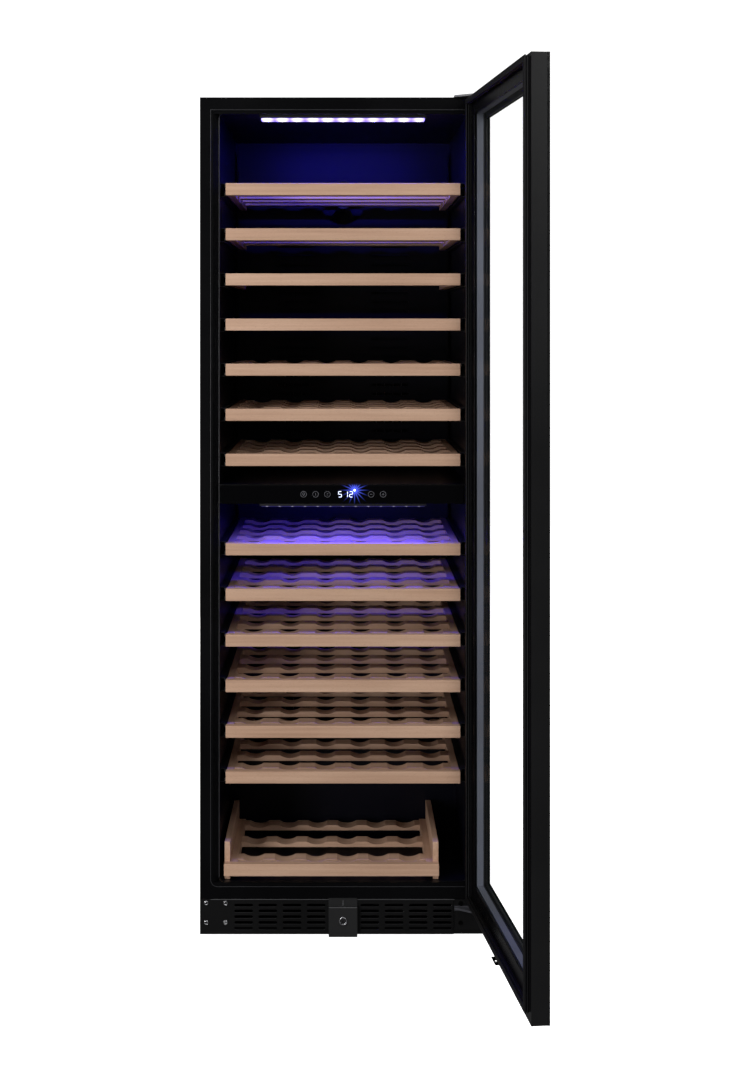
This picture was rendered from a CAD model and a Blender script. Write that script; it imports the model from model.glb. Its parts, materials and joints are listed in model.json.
import json
import logging
import math
from dataclasses import dataclass, field
from enum import Enum
from functools import cached_property
from typing import Any, Callable, Sequence, Union

import bpy
from mathutils import Matrix, Vector


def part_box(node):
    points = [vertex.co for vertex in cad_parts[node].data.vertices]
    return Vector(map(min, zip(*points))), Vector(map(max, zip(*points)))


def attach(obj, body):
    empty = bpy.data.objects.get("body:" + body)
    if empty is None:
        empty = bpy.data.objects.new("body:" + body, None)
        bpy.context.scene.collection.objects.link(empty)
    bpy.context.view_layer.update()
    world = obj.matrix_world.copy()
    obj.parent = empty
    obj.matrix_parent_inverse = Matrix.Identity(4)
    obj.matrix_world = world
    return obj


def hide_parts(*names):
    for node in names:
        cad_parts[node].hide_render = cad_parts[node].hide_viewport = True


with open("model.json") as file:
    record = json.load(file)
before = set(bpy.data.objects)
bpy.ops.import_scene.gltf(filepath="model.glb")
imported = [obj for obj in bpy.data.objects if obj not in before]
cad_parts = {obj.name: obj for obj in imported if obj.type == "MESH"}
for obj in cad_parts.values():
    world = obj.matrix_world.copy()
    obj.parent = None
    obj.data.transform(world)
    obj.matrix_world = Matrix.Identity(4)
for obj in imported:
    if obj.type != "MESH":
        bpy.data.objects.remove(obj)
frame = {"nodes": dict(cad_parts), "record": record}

# A two-zone wine cooler with its glass door open: beech shelves on steel runners, a gloss
# control fascia, lit zones, a louvred plinth with a lock, and the machinery behind.

LOG = logging.getLogger("wine_cooler")
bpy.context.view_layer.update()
MM = 0.001

Vec = tuple[float, float, float]
Value = Union[float, Sequence[float], "Sig"]
PILOT_GLOW = (24 * MM, -308 * MM, 933 * MM)  # middle of the glow round the fascia's pilot light


# ---------------------------------------------------------------- shader graphs


def _operator(operation: str, turned: bool = False) -> Callable[..., "Sig"]:
    """Makes a method that adds one Math node.

    Args:
        operation: The Math node's operation.
        turned: Whether the other value comes first.

    Returns:
        The method.
    """

    def apply(self: "Sig", *others: Value) -> "Sig":
        """The node's value for this socket and the others."""
        values = (*others, self) if turned else (self, *others)
        return self.graph.add("ShaderNodeMath", {"operation": operation}, dict(enumerate(values)))

    return apply


class Sig:
    """A shader socket that takes part in Python arithmetic."""

    def __init__(self, graph: "Graph", socket: Any) -> None:
        """Keeps the graph and the output socket."""
        self.graph = graph
        self.socket = socket

    __add__ = _operator("ADD")
    __radd__ = _operator("ADD", turned=True)
    __sub__ = _operator("SUBTRACT")
    __mul__ = _operator("MULTIPLY")
    __truediv__ = _operator("DIVIDE")
    __gt__ = _operator("GREATER_THAN")
    __lt__ = _operator("LESS_THAN")
    power = _operator("POWER")
    wrapped = _operator("FRACT")
    size = _operator("ABSOLUTE")
    cosine = _operator("COSINE")
    angle_from = _operator("ARCTAN2")


class Graph:
    """One material and the nodes that feed its Principled shader."""

    def __init__(self, name: str) -> None:
        """Makes the material with an empty Principled shader.

        Args:
            name: The material's name.
        """
        self.material = bpy.data.materials.new(name)
        self.material.use_nodes = True
        self.tree = self.material.node_tree
        self.shader = next(n for n in self.tree.nodes if n.type == "BSDF_PRINCIPLED")

    def add(self, kind: str, settings: dict[str, Any], sockets: dict[Any, Value], out: Any = 0) -> Sig:
        """Adds a node.

        Args:
            kind: The node's type.
            settings: Its properties, set first.
            sockets: Values or links for its inputs, by name or index.
            out: The output that is returned.

        Returns:
            The chosen output.
        """
        node = self.tree.nodes.new(kind)
        for key, setting in settings.items():
            setattr(node, key, setting)
        for key, value in sockets.items():
            self.feed(node.inputs[key], value)
        return Sig(self, node.outputs[out])

    def feed(self, socket: Any, value: Value) -> None:
        """Links a signal to a socket or sets the socket's own value.

        Args:
            socket: The input socket.
            value: A signal, a number or a colour.
        """
        if isinstance(value, Sig):
            self.tree.links.new(value.socket, socket)
        elif socket.type == "RGBA" and not isinstance(value, (int, float)):
            socket.default_value = (*value[:3], 1.0)
        else:
            socket.default_value = value

    def set(self, **values: Value) -> None:
        """Sets or links the Principled shader's inputs; underscores stand for spaces."""
        for key, value in values.items():
            self.feed(self.shader.inputs[key.replace("_", " ")], value)

    def place(self, scale: Vec = (1, 1, 1)) -> Sig:
        """Object coordinates, scaled along each axis."""
        point = self.add("ShaderNodeTexCoord", {}, {}, "Object")
        return self.add("ShaderNodeMapping", {}, {"Vector": point, "Scale": scale})

    def axis(self, point: Sig, name: str) -> Sig:
        """One component, X, Y or Z, of a vector."""
        return self.add("ShaderNodeSeparateXYZ", {}, {"Vector": point}, name)

    def noise(self, point: Sig, scale: float = 1.0, detail: float = 4.0, rough: float = 0.5) -> Sig:
        """A noise value between 0 and 1.

        Args:
            point: The coordinate vector.
            scale: Its frequency.
            detail: Its octaves.
            rough: How strong the fine octaves are.

        Returns:
            The noise.
        """
        return self.add("ShaderNodeTexNoise", {},
                        {"Vector": point, "Scale": scale, "Detail": detail, "Roughness": rough})

    def ramp(self, value: Value, stops: Sequence[tuple[float, Vec]]) -> Sig:
        """A colour ramp over value.

        Args:
            value: What the ramp reads.
            stops: (place, colour) pairs in rising order.

        Returns:
            The colour.
        """
        ramp = self.add("ShaderNodeValToRGB", {}, {"Fac": value})
        elements = ramp.socket.node.color_ramp.elements
        while len(elements) < len(stops):
            elements.new(1.0)
        for element, (place, colour) in zip(elements, stops):
            element.position, element.color = place, (*colour, 1.0)
        return ramp

    def span(self, value: Value, low: float, high: float, start: float = 0.0, end: float = 1.0) -> Sig:
        """value mapped from low..high to start..end, clamped."""
        return self.add("ShaderNodeMapRange", {},
                        {"Value": value, "From Min": low, "From Max": high, "To Min": start, "To Max": end})

    def mix(self, share: Value, first: Value, second: Value) -> Sig:
        """A colour between first and second."""
        return self.add("ShaderNodeMix", {"data_type": "RGBA"}, {0: share, 6: first, 7: second}, 2)

    def bump(self, height: Value, strength: float, distance: float) -> None:
        """Feeds the shader's normal from a height.

        Args:
            height: The height signal.
            strength: The bump's strength.
            distance: The height of 1, in metres.
        """
        sockets = {"Height": height, "Strength": strength, "Distance": distance}
        self.set(Normal=self.add("ShaderNodeBump", {}, sockets))


# ---------------------------------------------------------------- finishes


class Grain(Enum):
    """The direction that a grain or brushing runs in."""

    ACROSS = (1.0, 0.0, 0.0)
    DEEP = (0.0, 1.0, 0.0)
    UPRIGHT = (0.0, 0.0, 1.0)

    def stretched(self, along: float, over: float) -> Vec:
        """Scales that stretch a pattern along the grain."""
        return tuple(along if part else over for part in self.value)


def tinted(colour: Vec, factor: float, lift: float = 0.0) -> Vec:
    """The colour made lighter or darker by a factor, then lifted by the same amount in each channel."""
    return tuple(min(1.0, part * factor + lift) for part in colour)


class Finish:
    """A finish that paints one material of its own name."""

    name: str

    @cached_property
    def g(self) -> Graph:
        """The graph of the finish's material."""
        return Graph(self.name)

    def paint(self) -> None:
        """Wires the graph; each finish has its own way."""

    def material(self) -> Any:
        """The painted Blender material."""
        self.paint()
        return self.g.material


@dataclass(frozen=True)
class Coated(Finish):
    """A painted or moulded surface with a fine grain.

    Attributes:
        name: The material's name.
        colour: Base colour.
        rough: Middle roughness.
        grain_size: Size of the grain in metres.
        grain_height: Height of the grain in metres.
        gloss: Specular level.
        lacquer: Clear coat weight.
        band: Heights between which the paint is pale instead.
        pale: Colour of that band.
    """

    name: str
    colour: Vec
    rough: float
    grain_size: float = 0.0009
    grain_height: float = 0.00003
    gloss: float = 0.5
    lacquer: float = 0.0
    band: tuple[float, float] = (9.0, 9.0)
    pale: Vec = (0.052, 0.052, 0.06)

    def paint(self) -> None:
        """Wires a clouded colour, its pale band and a fine grain."""
        g = self.g
        grain = g.noise(g.place(), 1 / self.grain_size, 2.0, 0.6)
        cloud = g.noise(g.place(), 3.0, 4.0, 0.6)
        light, dark = tinted(self.colour, 1.22, 0.0008), tinted(self.colour, 0.8)
        z = g.axis(g.place(), "Z")
        inside = (z > self.band[0]) * (z < self.band[1])
        g.set(Base_Color=g.mix(inside, g.mix(g.span(cloud, 0.3, 0.7), dark, light), self.pale),
              Roughness=self.rough + (cloud - 0.5) * 0.14 + (grain - 0.5) * 0.06,
              Coat_Weight=self.lacquer, Coat_Roughness=0.06, Specular_IOR_Level=self.gloss)
        g.bump(grain, 0.35, self.grain_height)


@dataclass(frozen=True)
class Metal(Finish):
    """A bare metal with drawn or brushed lines.

    Attributes:
        name: The material's name.
        colour: Base colour.
        rough: Middle roughness.
        grain: The brushing's direction.
        tarnish: How much the tone wanders.
        black_beyond: Pieces further right than this are blackened.
    """

    name: str
    colour: Vec
    rough: float = 0.32
    grain: Grain = Grain.DEEP
    tarnish: float = 0.25
    black_beyond: float = 9.0

    def paint(self) -> None:
        """Wires the brushed lines, the tarnish and the blackened side."""
        g = self.g
        lines = g.noise(g.place(self.grain.stretched(14, 1700)), 1.0, 3.0, 0.6)
        cloud = g.noise(g.place(), 9.0, 5.0, 0.62)
        dark = tinted(self.colour, 1 - self.tarnish)
        bare = g.mix(g.span(cloud * 0.7 + lines * 0.3, 0.35, 0.62), dark, self.colour)
        black = g.axis(g.place(), "X") > self.black_beyond
        g.set(Base_Color=g.mix(black, bare, (0.012, 0.012, 0.012)),
              Roughness=self.rough + (lines - 0.5) * 0.22 + (cloud - 0.5) * 0.16, Metallic=1.0)
        g.bump(lines, 0.25, 0.00002)


@dataclass(frozen=True)
class Galvanised(Finish):
    """Zinc-coated sheet with its crystals.

    Attributes:
        name: The material's name.
        colour: Base colour.
    """

    name: str = "zinc_sheet"
    colour: Vec = (0.42, 0.43, 0.44)

    def paint(self) -> None:
        """Wires the crystals and a cloud over them."""
        g = self.g
        crystal = g.add("ShaderNodeTexVoronoi", {"feature": "F1"},
                        {"Vector": g.place(), "Scale": 95.0}, "Color")
        tone = g.axis(crystal, "X")
        cloud = g.noise(g.place(), 6.0, 4.0)
        dark = tinted(self.colour, 0.68)
        g.set(Base_Color=g.mix(tone * 0.65 + cloud * 0.35, dark, self.colour),
              Roughness=0.36 + tone * 0.16, Metallic=0.85)
        g.bump(tone, 0.12, 0.00004)


@dataclass(frozen=True)
class BeechWood(Finish):
    """Sanded, unvarnished beech.

    Attributes:
        grain: The direction of the fibres.
    """

    grain: Grain

    @property
    def name(self) -> str:
        """The material's name, after the direction of the fibres."""
        return "beech_" + self.grain.name.lower()

    def paint(self) -> None:
        """Wires years, fibres and ray flecks along the grain."""
        g = self.g
        wander = g.noise(g.place(self.grain.stretched(2.2, 26)), 1.0, 3.0, 0.55)
        fibres = g.noise(g.place(self.grain.stretched(26, 1150)), 1.0, 4.0, 0.65)
        years = g.noise(g.place(self.grain.stretched(3.0, 150)), 1.0, 2.0, 0.5)
        flecks = g.noise(g.place(self.grain.stretched(230, 2100)), 1.0, 1.0, 0.5)
        rays = g.span(flecks, 0.64, 0.74)
        tone = g.span(wander * 0.5 + years * 0.32 + fibres * 0.18, 0.3, 0.68)
        colour = g.ramp(tone, [(0.0, (0.37, 0.219, 0.141)), (0.45, (0.485, 0.301, 0.203)),
                               (1.0, (0.59, 0.391, 0.276))])
        g.set(Base_Color=g.mix(rays * 0.5, colour, (0.25, 0.135, 0.08)),
              Roughness=0.56 + (fibres - 0.5) * 0.24, Specular_IOR_Level=0.35)
        g.bump(fibres * 0.7 - rays * 0.5, 0.4, 0.00012)


@dataclass(frozen=True)
class Gloss(Finish):
    """A polished black or printed surface, such as the fascia or the pane's border.

    Attributes:
        name: The material's name.
        colour: Base colour.
        rough: Roughness between the wiping marks.
    """

    name: str
    colour: Vec = (0.004, 0.004, 0.0045)
    rough: float = 0.07

    def paint(self) -> None:
        """Wires the polish with its wiping marks and dust."""
        g = self.g
        smears = g.noise(g.place((5, 5, 22)), 1.0, 6.0, 0.6)
        dust = g.span(g.noise(g.place(), 900.0, 1.0), 0.7, 0.78)
        g.set(Base_Color=g.mix(dust * 0.18, self.colour, (0.08, 0.08, 0.085)),
              Roughness=self.rough + g.span(smears, 0.45, 0.75) * 0.07 + dust * 0.2, Coat_Weight=0.6,
              Coat_Roughness=0.03)


@dataclass(frozen=True)
class ClearPane(Finish):
    """Clear float glass with a faint green body colour.

    Attributes:
        name: The material's name.
    """

    name: str = "clear_glass"

    def paint(self) -> None:
        """Wires the clear body with a faint haze."""
        g = self.g
        haze = g.noise(g.place((4, 4, 4)), 1.0, 5.0, 0.6)
        g.set(Base_Color=(0.08, 0.1, 0.095), Alpha=0.035 + g.span(haze, 0.4, 0.8) * 0.01,
              Roughness=0.02 + g.span(haze, 0.4, 0.8) * 0.03)


@dataclass(frozen=True)
class SoftRubber(Finish):
    """Seal rubber with a faint bloom and fine pits.

    Attributes:
        name: The material's name.
        colour: Base colour.
        pit: Spacing of the fine pits in metres.
    """

    name: str = "seal_rubber"
    colour: Vec = (0.0018, 0.0018, 0.0022)
    pit: float = 0.0016

    def paint(self) -> None:
        """Wires the bloom and the fine pits."""
        g = self.g
        bloom = g.noise(g.place(), 14.0, 5.0, 0.6)
        pits = g.noise(g.place(), 1 / self.pit, 2.0, 0.6)
        g.set(Base_Color=g.mix(g.span(bloom, 0.35, 0.7), self.colour, tinted(self.colour, 1.9)),
              Roughness=0.58 + (bloom - 0.5) * 0.2, Specular_IOR_Level=0.2)
        g.bump(pits, 0.25, 0.00005)


@dataclass(frozen=True)
class Foam(Finish):
    """Rigid foam with its closed cells.

    Attributes:
        name: The material's name.
    """

    name: str = "rigid_foam"

    def paint(self) -> None:
        """Wires the closed cells."""
        g = self.g
        cells = g.add("ShaderNodeTexVoronoi", {"feature": "F1"}, {"Vector": g.place(), "Scale": 420.0})
        cloud = g.noise(g.place(), 7.0, 4.0)
        g.set(Base_Color=g.mix(cloud, (0.56, 0.44, 0.2), (0.74, 0.62, 0.34)), Roughness=0.85)
        g.bump(cells, 0.6, 0.0006)


@dataclass(frozen=True)
class Glow(Finish):
    """A light-emitting surface.

    Attributes:
        name: The material's name.
        colour: Emission colour.
        strength: Emission strength.
        uneven: How much the emission colour wanders over the surface.
    """

    name: str
    colour: Vec
    strength: float
    uneven: float = 0.2

    def paint(self) -> None:
        """Wires an emission that wanders a little."""
        g = self.g
        cloud = g.noise(g.place(), 260.0, 2.0)
        weak = tinted(self.colour, 1 - self.uneven)
        g.set(Base_Color=(0.4, 0.4, 0.45), Roughness=0.4,
              Emission_Color=g.mix(cloud, weak, self.colour), Emission_Strength=self.strength)


@dataclass(frozen=True)
class Lens(Finish):
    """The frosted lens of a light bar, whitest where a diode stands behind it.

    Attributes:
        name: The material's name.
        pitch: Spacing of the diodes.
        strength: Emission strength.
        sharp: How small the white spots are.
        between: Colour between the spots.
        body: Colour of the lens itself.
    """

    name: str = "diffuser_glow"
    pitch: float = 0.0318
    strength: float = 3.2
    sharp: float = 1.5
    between: Vec = (0.12, 0.075, 0.8)
    body: Vec = (0.4, 0.4, 0.45)

    def paint(self) -> None:
        """Wires a white spot for each diode."""
        g = self.g
        x = g.axis(g.place(), "X")
        off = ((x / self.pitch).wrapped() - 0.5).size() * 2.0
        spot = off.power(self.sharp) * g.span(g.noise(g.place((16, 1, 1)), 1.0, 1.0), 0.35, 0.6, 0.5, 1.0)
        g.set(Base_Color=self.body, Roughness=0.4, Emission_Strength=self.strength,
              Emission_Color=g.mix(spot, self.between, (0.85, 0.8, 1.0)))


@dataclass(frozen=True)
class LitFascia(Finish):
    """The smoked gloss fascia, lit from behind round its pilot light.

    Attributes:
        pilot: Place of the pilot light.
        name: The material's name.
        rays: Number of rays round the light.
        halo_r: Reach of the glow between the rays.
        ray_l: How much further a ray reaches.
    """

    pilot: Vec
    name: str = "fascia_gloss"
    rays: float = 16.0
    halo_r: float = 0.017
    ray_l: float = 0.021

    def paint(self) -> None:
        """Wires the polish and the rays round the pilot light."""
        g = self.g
        smears = g.noise(g.place((5, 5, 22)), 1.0, 6.0, 0.6)
        x = g.axis(g.place(), "X") - self.pilot[0]
        z = g.axis(g.place(), "Z") - self.pilot[2]
        reach = (x * x + z * z).power(0.5)
        rays = g.span((z.angle_from(x) * self.rays).cosine(), 0.0, 1.0)
        length = self.halo_r + rays.power(1.5) * self.ray_l
        halo = g.span(reach / length, 0.0, 1.0, 1.0, 0.0).power(2.6)
        g.set(Base_Color=(0.0012, 0.0012, 0.0016), Roughness=0.1 + g.span(smears, 0.45, 0.75) * 0.08,
              Emission_Color=g.mix(halo, (0, 0, 0), (0.09, 0.13, 1.0)), Emission_Strength=2.2,
              Specular_IOR_Level=0.09)


@dataclass(frozen=True)
class CircuitBoard(Finish):
    """Green solder-masked board with copper tracks.

    Attributes:
        name: The material's name.
    """

    name: str = "circuit_board"

    def paint(self) -> None:
        """Wires the copper tracks."""
        g = self.g
        point = g.place((380, 380, 380))
        lane = (g.axis(point, "X").wrapped() - 0.5).size() < 0.16
        gate = g.noise(g.place((30, 90, 90)), 1.0, 1.0) > 0.5
        g.set(Base_Color=g.mix(lane * gate, (0.008, 0.06, 0.022), (0.03, 0.16, 0.06)), Roughness=0.35)


class Palette:
    """Every finish of the cooler, made once; each attribute is a material."""

    def __init__(self) -> None:
        """Builds the materials."""
        finishes = dict(
            shell=Coated("shell_powder_coat", (0.004, 0.004, 0.0042), 0.5, 0.0011, 0.00003, 0.22),
            frame_black=Coated("frame_black", (0.0011, 0.0011, 0.0015), 0.27, 0.0007, 0.00001, 0.1),
            liner=Coated("liner_black", (0.001, 0.001, 0.0046), 0.34, 0.0012, 0.00004, 0.16),
            moulded=Coated("moulded_black", (0.0065, 0.0065, 0.007), 0.48, 0.0008, 0.00004, 0.4),
            plinth=Coated("plinth_black", (0.0022, 0.0022, 0.0024), 0.36, 0.0008, 0.00003, 0.22),
            runner=Coated("runner_black", (0.006, 0.006, 0.0064), 0.34, 0.0009, 0.00002, 0.4),
            hinge_dark=Coated("hinge_black", (0.0026, 0.0026, 0.0028), 0.42, 0.0009, 0.00002, 0.2,
                              band=(60 * MM, 70 * MM)),
            edge_grey=Coated("edge_grey", (0.07, 0.07, 0.074), 0.4, 0.0008, 0.00001, 0.4),
            lip=Coated("lip_grey", (0.01, 0.01, 0.011), 0.36, 0.0008, 0.00001, 0.3),
            bead=Coated("bead_grey", (0.02, 0.02, 0.0225), 0.3, 0.0008, 0.00001, 0.4),
            base_black=Coated("base_black", (0.0004, 0.0004, 0.0005), 0.6, 0.001, 0.00003, 0.04),
            enamel=Coated("enamel_black", (0.01, 0.01, 0.011), 0.2, 0.004, 0.00003, 0.5, 0.5),
            anodised=Coated("anodised_black", (0.0075, 0.0075, 0.0079), 0.34, 0.0006, 0.00001, 0.14),
            hinge=Metal("hinge_steel", (0.3, 0.3, 0.31), 0.44, Grain.ACROSS, 0.3),
            screw=Metal("screw_steel", (0.13, 0.13, 0.136), 0.18, Grain.UPRIGHT, 0.25, 0.2),
            bright=Metal("bright_steel", (0.55, 0.55, 0.57), 0.16, Grain.UPRIGHT, 0.1),
            fins=Metal("fin_aluminium", (0.66, 0.67, 0.69), 0.4, Grain.UPRIGHT),
            spacer=Coated("spacer_aluminium", (0.108, 0.117, 0.145), 0.46, 0.0016, 0.00006, 0.22),
            copper=Metal("copper_tube", (0.72, 0.34, 0.19), 0.27, Grain.ACROSS, 0.45),
            brass=Metal("brass_pins", (0.7, 0.53, 0.24), 0.25, Grain.DEEP),
            sheet=Galvanised(),
            board=BeechWood(Grain.ACROSS),
            rail=BeechWood(Grain.DEEP),
            fascia=LitFascia(PILOT_GLOW),
            border=Gloss("pane_border", (0.0015, 0.0015, 0.0018), 0.05),
            glass=ClearPane(),
            seal=SoftRubber(),
            mount=SoftRubber("mount_rubber", (0.014, 0.014, 0.014), 0.003),
            foam=Foam(),
            circuit=CircuitBoard(),
            digit=Glow("digit_glow", (0.62, 0.7, 1.0), 2.6),
            symbol=Coated("symbol_print", (0.13, 0.13, 0.15), 0.5),
            pilot=Glow("pilot_glow", (0.55, 0.68, 1.0), 14.0),
            diffuser=Lens(),
            diffuser_dim=Lens("diffuser_dim", 0.0265, 0.9, 9.0, (0.012, 0.009, 0.1), (0.02, 0.02, 0.05)),
            diode=Glow("diode_glow", (0.75, 0.65, 1.0), 12.0),
        )
        for name, finish in finishes.items():
            setattr(self, name, finish.material())


# ---------------------------------------------------------------- the workbench


class Bench:
    """Modelling steps, made with Blender's own operators."""

    @staticmethod
    def take(*pieces: Any) -> None:
        """Selects only these pieces and makes the first one active.

        Args:
            pieces: The pieces; none deselects everything.
        """
        bpy.ops.object.select_all(action="DESELECT")
        for piece in pieces:
            piece.select_set(True)
        if pieces:
            bpy.context.view_layer.objects.active = pieces[0]

    @staticmethod
    def _settle(name: str) -> Any:
        """Names the new active object and puts its place into its mesh.

        Args:
            name: The piece's name.

        Returns:
            The piece.
        """
        piece = bpy.context.object
        piece.name = piece.data.name = name
        bpy.ops.object.transform_apply(location=True, rotation=True, scale=True)
        return piece

    @classmethod
    def block(cls, name: str, low: Vec, high: Vec) -> Any:
        """Adds a block between two corners.

        Args:
            name: The piece's name.
            low: Lowest corner in metres.
            high: Highest corner in metres.

        Returns:
            The new object.
        """
        cls.take()
        middle = [(a + b) / 2 for a, b in zip(low, high)]
        bpy.ops.mesh.primitive_cube_add(size=1, location=middle)
        bpy.context.object.scale = [b - a for a, b in zip(low, high)]
        return cls._settle(name)

    @classmethod
    def bar(cls, name: str, low: Vec, high: Vec, edge: float, steps: int = 2) -> Any:
        """Adds a block between two corners, with its edges rounded by the width in edge."""
        return cls.soften(cls.block(name, low, high), edge, steps)

    @classmethod
    def rod(cls, name: str, centre: Vec, radius: float, length: float, axis: str = "Z", sides: int = 48,
            tip: Union[float, None] = None) -> Any:
        """Adds a rod or a cone.

        Args:
            name: The piece's name.
            centre: Its middle.
            radius: Its radius, at the low end of the axis if tip is given.
            length: Its length.
            axis: X, Y or Z.
            sides: Number of sides.
            tip: Radius at the other end.

        Returns:
            The new object.
        """
        cls.take()
        turn = {"X": (0, math.pi / 2, 0), "Y": (-math.pi / 2, 0, 0), "Z": (0, 0, 0)}[axis]
        bpy.ops.mesh.primitive_cone_add(vertices=sides, depth=length, location=centre, rotation=turn,
                                        radius1=radius, radius2=radius if tip is None else tip)
        return cls._settle(name)

    @classmethod
    def ring(cls, name: str, centre: Vec, radius: float, wire: float, turn: Vec = (math.pi / 2, 0, 0),
             sides: int = 40) -> Any:
        """Adds a wire ring.

        Args:
            name: The piece's name.
            centre: Its middle.
            radius: Radius of the wire's middle line.
            wire: Radius of the wire.
            turn: Its rotation.
            sides: Segments round the ring.

        Returns:
            The new object.
        """
        cls.take()
        bpy.ops.mesh.primitive_torus_add(major_segments=sides, minor_segments=8, major_radius=radius,
                                         minor_radius=wire, location=centre, rotation=turn)
        return cls._settle(name)

    @classmethod
    def modify(cls, piece: Any, kind: str, **settings: Any) -> Any:
        """Adds a modifier and applies it.

        Args:
            piece: The piece.
            kind: The modifier's type.
            settings: Its properties.

        Returns:
            The piece.
        """
        cls.take(piece)
        modifier = piece.modifiers.new(kind.lower(), kind)
        for key, value in settings.items():
            setattr(modifier, key, value)
        bpy.ops.object.modifier_apply(modifier=modifier.name)
        return piece

    @classmethod
    def smooth(cls, piece: Any, angle: Union[float, None] = None) -> Any:
        """Smooths the shading.

        Args:
            piece: The piece.
            angle: Edges sharper than this many degrees stay sharp; without it none does.

        Returns:
            The piece.
        """
        cls.take(piece)
        if angle is None:
            bpy.ops.object.shade_smooth()
        else:
            bpy.ops.object.shade_smooth_by_angle(angle=math.radians(angle))
        return piece

    @classmethod
    def soften(cls, piece: Any, width: float, steps: int = 2, angle: float = 30) -> Any:
        """Rounds the sharp edges.

        Args:
            piece: The piece.
            width: Width of the rounding in metres.
            steps: Segments of the rounding.
            angle: Edges sharper than this many degrees are rounded.

        Returns:
            The piece.
        """
        cls.modify(piece, "BEVEL", width=width, segments=steps, limit_method="ANGLE",
                   angle_limit=math.radians(angle), use_clamp_overlap=True)
        cls.smooth(piece, 35)
        return cls.modify(piece, "WEIGHTED_NORMAL", mode="FACE_AREA", weight=50, keep_sharp=True)

    @classmethod
    def cut(cls, piece: Any, *cutters: Any) -> Any:
        """Cuts the cutters out of the piece and removes them.

        Args:
            piece: The piece.
            cutters: Objects that are taken away.

        Returns:
            The piece.
        """
        tool = cls.join("cutter", *cutters)
        cls.modify(piece, "BOOLEAN", operation="DIFFERENCE", object=tool, solver="EXACT", use_self=True)
        bpy.data.objects.remove(tool, do_unlink=True)
        return piece

    @classmethod
    def join(cls, name: str, *pieces: Any) -> Any:
        """Joins pieces into the first one.

        Args:
            name: The joined piece's name.
            pieces: What is joined.

        Returns:
            The joined piece.
        """
        cls.take(*pieces)
        if len(pieces) > 1:
            bpy.ops.object.join()
        pieces[0].name = pieces[0].data.name = name
        return pieces[0]

    @classmethod
    def copy(cls, piece: Any, name: str, move: Vec = (0, 0, 0)) -> Any:
        """Copies a piece with its own mesh.

        Args:
            piece: The piece.
            name: The copy's name.
            move: How far the copy stands from the piece.

        Returns:
            The copy.
        """
        cls.take(piece)
        bpy.ops.object.duplicate(linked=False)
        bpy.context.object.location = move
        return cls._settle(name)

    @classmethod
    def refine(cls, node: str, name: str, width: float, steps: int = 2, angle: float = 30) -> Any:
        """Makes a welded copy of a CAD node with softened edges.

        Args:
            node: The CAD node.
            name: The new piece's name.
            width: Width of the rounding in metres.
            steps: Segments of the rounding.
            angle: Edges sharper than this many degrees are rounded.

        Returns:
            The new piece.
        """
        source = frame["nodes"][node]
        mesh = source.data.copy()
        piece = bpy.data.objects.new(name, mesh)
        mesh.name = name
        mesh.materials.clear()
        bpy.context.scene.collection.objects.link(piece)
        cls.take(piece)
        bpy.ops.object.mode_set(mode="EDIT")
        bpy.ops.mesh.select_all(action="SELECT")
        bpy.ops.mesh.remove_doubles(threshold=0.00001)
        bpy.ops.mesh.dissolve_limited(angle_limit=math.radians(0.6))
        bpy.ops.object.mode_set(mode="OBJECT")
        return cls.soften(piece, width, steps, angle)

    @classmethod
    def pick_edges(cls, piece: Any, test: Callable[[Any, Any], bool]) -> None:
        """Opens the piece in edit mode with some of its edges selected.

        Args:
            piece: The piece.
            test: Takes an edge's two vertices and says whether the edge is selected.
        """
        cls.take(piece)
        bpy.ops.object.mode_set(mode="EDIT")
        bpy.ops.mesh.select_mode(type="EDGE")
        bpy.ops.mesh.select_all(action="DESELECT")
        bpy.ops.object.mode_set(mode="OBJECT")
        points = piece.data.vertices
        for edge in piece.data.edges:
            edge.select = test(*(points[k] for k in edge.vertices))
        bpy.ops.object.mode_set(mode="EDIT")

    @classmethod
    def round_slab(cls, name: str, low: Vec, high: Vec, radius: float, square_top: bool = False) -> Any:
        """Adds a slab whose edges along Y are rounded.

        Args:
            name: The piece's name.
            low: Lowest corner in metres.
            high: Highest corner in metres.
            radius: Radius of the corners.
            square_top: Whether the two upper corners stay square.

        Returns:
            The new object.
        """
        piece = cls.block(name, low, high)
        middle = (low[2] + high[2]) / 2
        cls.pick_edges(piece, lambda one, two: abs(one.co.y - two.co.y) > 1e-7
                       and (one.co.z < middle or not square_top))
        bpy.ops.mesh.bevel(offset=radius, segments=8, affect="EDGES")
        bpy.ops.object.mode_set(mode="OBJECT")
        return piece

    @classmethod
    def bead(cls, name: str, low: Vec, high: Vec, radius: float, width: float, square_top: bool) -> Any:
        """Adds a thin bead that runs round a rectangle.

        Args:
            name: The piece's name.
            low: Lowest corner of its outside.
            high: Highest corner of its outside.
            radius: Radius of its outer corners.
            width: Its width.
            square_top: Whether the two upper corners stay square.

        Returns:
            The bead.
        """
        piece = cls.round_slab(name, low, high, radius, square_top)
        past = 1 * MM
        inner = cls.round_slab("inner", (low[0] + width, low[1] - past, low[2] + width),
                               (high[0] - width, high[1] + past, high[2] - width), radius - width,
                               square_top)
        cls.cut(piece, inner)
        return cls.soften(piece, width * 0.25, 2, 40)

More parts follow.
